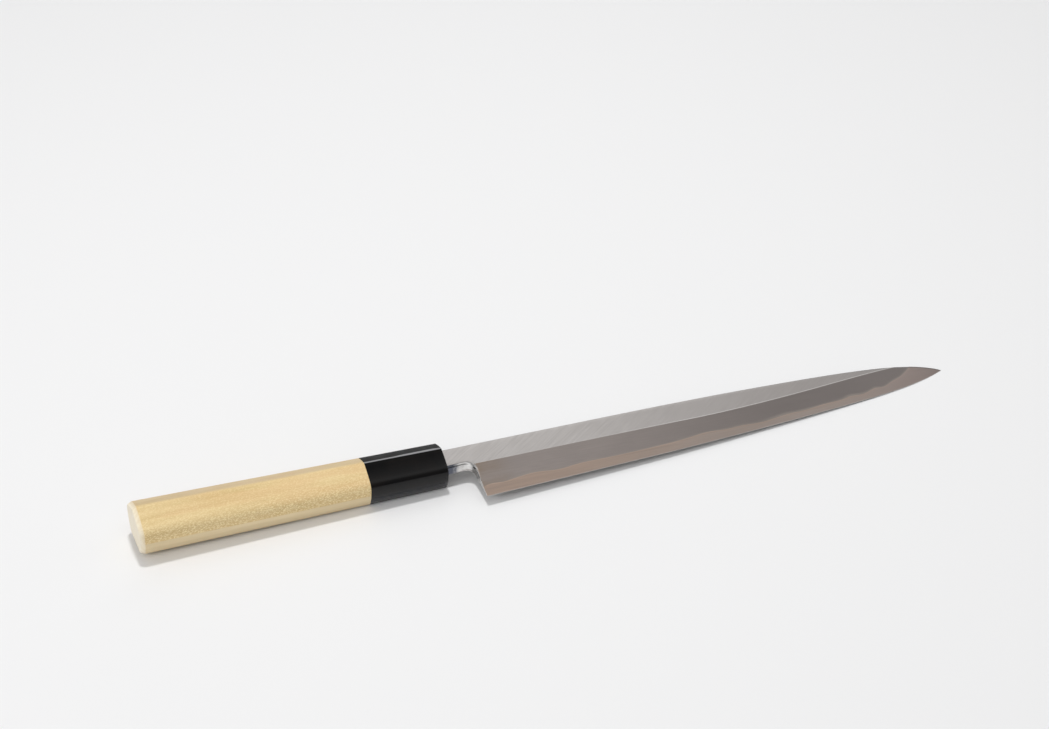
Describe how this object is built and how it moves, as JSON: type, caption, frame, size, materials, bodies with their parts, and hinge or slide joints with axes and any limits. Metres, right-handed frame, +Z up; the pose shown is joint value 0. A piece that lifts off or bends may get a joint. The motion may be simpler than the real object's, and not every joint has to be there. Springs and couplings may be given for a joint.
{
  "type": "yanagiba knife",
  "caption": "Long single-bevelled slicing knife with a hollow-ground back, a dark horn ferrule and a pale wooden handle with a ridge, lying bevel side up.",
  "frame": {"origin": "centre of the bounding box at its lowest level, the surface that the knife lies on", "axes": "+X from the butt of the handle to the tip, +Y from the edge to the spine, +Z up, out of the bevelled side"},
  "size_m": [0.4116, 0.0388, 0.0228],
  "materials": {
    "soft_iron": "satin, ground lengthwise on the bevel and at a slant on the flat",
    "hard_steel": "satin, slightly warmer than the iron",
    "horn": "polished",
    "magnolia_wood": "sanded, unvarnished"
  },
  "bodies": {
    "root": {"blade_cladding": "soft_iron", "cutting_steel": "hard_steel", "ferrule": "horn", "handle": "magnolia_wood"}
  },
  "joints": []
}
